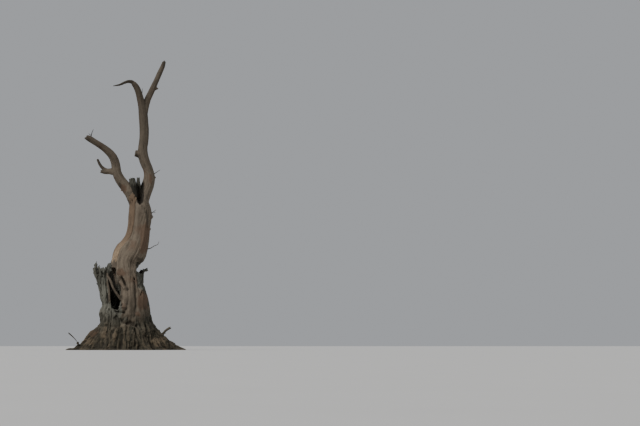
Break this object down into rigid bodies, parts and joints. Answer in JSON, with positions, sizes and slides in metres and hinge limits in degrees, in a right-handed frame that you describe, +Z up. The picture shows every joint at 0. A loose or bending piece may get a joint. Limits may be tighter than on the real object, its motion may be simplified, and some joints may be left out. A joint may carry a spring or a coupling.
{
  "type": "dead tree",
  "caption": "Old dead tree: a broad hollow bole with a broken rim carries one leaning barkless stem that forks into bare boughs.",
  "frame": {"origin": "in the flat cut at ground level, on the middle line of the trunk's foot", "axes": "+Z up the tree; -Y towards the side that shows the hollow and the slits; +X to the right of that view"},
  "size_m": [2.7523, 2.0282, 6.9972],
  "materials": {
    "old_wood": "weathered grey-brown wood, rotten and dark on the old bole and bleached on the stem",
    "bare_wood": "barkless sun-bleached wood, dry and matt",
    "rotten_wood": "dark rotten wood, matt",
    "twigs": "thin dry bare twigs"
  },
  "bodies": {
    "root": {"trunk": "old_wood", "left_bough": "bare_wood", "left_spur": "bare_wood", "left_spur_stub": "rotten_wood", "right_bough": "bare_wood", "upper_left_arm": "bare_wood", "upper_right_arm": "bare_wood", "hooked_tip": "bare_wood", "leader_stub_left": "rotten_wood", "leader_stub_right": "rotten_wood", "twig_left_tip": "twigs", "twig_right_bend": "twigs", "twig_middle": "twigs", "twig_low": "twigs", "twig_upper": "twigs"}
  },
  "joints": []
}
